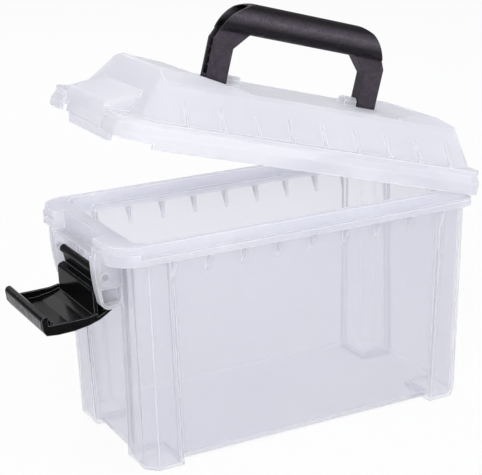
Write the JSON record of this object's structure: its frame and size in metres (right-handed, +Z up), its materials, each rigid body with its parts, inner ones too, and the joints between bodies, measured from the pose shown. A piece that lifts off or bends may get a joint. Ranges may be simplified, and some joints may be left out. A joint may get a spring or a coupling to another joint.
{
  "type": "craft storage case",
  "caption": "Translucent plastic craft case: deep tapered tub, hinged domed lid with a folding carry handle, and a black snap latch at one end.",
  "frame": {"origin": "on the floor the case stands on, under the middle of the box around the case as it stands, lid half open and latch out", "axes": "+Z up, +X towards the lid's hinge end, -X towards the latch, -Y the long side nearest the viewer"},
  "size_m": [0.2844, 0.1244, 0.2567],
  "materials": {
    "frosted_plastic": "frosted translucent milky polypropylene, smooth",
    "pin_plastic": "plain extruded rod, satin",
    "handle_plastic": "charcoal, fine spark-eroded texture",
    "latch_plastic": "glossy black"
  },
  "bodies": {
    "base": {"tub": "frosted_plastic", "hinge_pin": "pin_plastic"},
    "lid": {"lid": "frosted_plastic"},
    "handle": {"handle": "handle_plastic"},
    "latch": {"latch": "latch_plastic"}
  },
  "joints": [
    {"name": "lid_hinge", "type": "hinge", "parent": "base", "child": "lid", "pos_m": [0.1376, 0, 0.131], "axis": [0, 1, 0], "range_deg": [-15.3, 94.7]},
    {"name": "handle_pivot", "type": "hinge", "parent": "lid", "child": "handle", "pos_m": [0.03721, 0, 0.20138], "axis": [0.9646, 0, -0.2639], "range_deg": [-76, 0]},
    {"name": "latch_pivot", "type": "hinge", "parent": "base", "child": "latch", "pos_m": [-0.1046, 0, 0.118], "axis": [0, 1, 0], "range_deg": [0, 118]}
  ]
}
